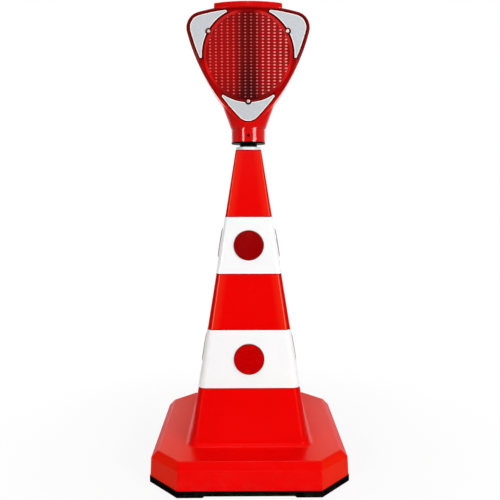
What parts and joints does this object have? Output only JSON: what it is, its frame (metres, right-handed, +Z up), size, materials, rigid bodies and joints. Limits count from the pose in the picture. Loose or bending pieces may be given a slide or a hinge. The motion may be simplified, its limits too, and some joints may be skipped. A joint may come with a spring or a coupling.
{
  "type": "traffic cone with warning light",
  "caption": "Square red traffic cone on a rubber-footed base, with white bands and round reflectors, and a two-sided solar warning lamp that swivels and lifts off its top.",
  "frame": {"origin": "on the ground, under the cone's axis", "axes": "+Z up along the cone's axis, -Y towards the lamp's front lens, +X to the viewer's right"},
  "size_m": [0.45, 0.45, 1.075],
  "materials": {
    "cone_red": "satin",
    "rubber_black": "matt",
    "screw_steel": "bright",
    "sheeting_white": "satin",
    "reflector_grey": "matt",
    "reflector_red": "gloss",
    "bush_white": "satin",
    "lamp_red": "gloss",
    "crescent_silver": "gloss",
    "lens_red": "gloss",
    "seal_black": "matt",
    "gasket_red": "matt",
    "panel_dark": "satin",
    "window_clear": "gloss",
    "column_black": "matt",
    "board_green": "satin",
    "led_clear": "gloss",
    "parts_black": "satin",
    "plug_black": "satin",
    "cell_blue": "satin",
    "lead_black": "matt"
  },
  "bodies": {
    "cone": {"cone_shell": "cone_red", "rubber_base": "rubber_black", "base_screws": "screw_steel", "upper_band": "sheeting_white", "lower_band": "sheeting_white", "upper_reflector_plates": "reflector_grey", "lower_reflector_plates": "reflector_grey", "upper_reflector_lenses": "reflector_red", "lower_reflector_lenses": "reflector_red"},
    "bush": {"swivel_bush": "bush_white", "bush_clip": "screw_steel"},
    "lamp": {"front_lens_screws": "screw_steel", "rear_lens_screws": "screw_steel", "tray_screws": "screw_steel", "front_housing": "lamp_red", "rear_housing": "lamp_red", "solar_tray": "lamp_red", "front_crescents": "crescent_silver", "rear_crescents": "crescent_silver", "front_lens": "lens_red", "rear_lens": "lens_red", "solar_seal": "seal_black", "plug_seal": "seal_black", "front_lens_gasket": "gasket_red", "rear_lens_gasket": "gasket_red", "solar_panel": "panel_dark", "solar_window": "window_clear", "led_column": "column_black", "battery_holder": "column_black", "switch_body": "column_black", "front_led_board": "board_green", "rear_led_board": "board_green", "controller_board": "board_green", "front_leds": "led_clear", "rear_leds": "led_clear", "controller_parts": "parts_black", "spigot_plug": "plug_black", "battery_cells": "cell_blue", "solar_lead": "lead_black", "switch_lead": "lead_black", "battery_leads": "lead_black"},
    "switch": {"switch_button": "plug_black"}
  },
  "joints": [
    {"name": "lamp_swivel", "type": "hinge", "parent": "cone", "child": "bush", "pos_m": [0, 0, 0.75], "axis": [0, 0, 1], "continuous": true},
    {"name": "lamp_lift", "type": "slide", "parent": "bush", "child": "lamp", "axis": [0, 0, 1], "range_m": [0, 0.09]},
    {"name": "switch_press", "type": "slide", "parent": "lamp", "child": "switch", "axis": [0, 1, 0], "range_m": [0, 0.0016], "stiffness_N_per_m": 600, "springref_m": -0.002}
  ]
}
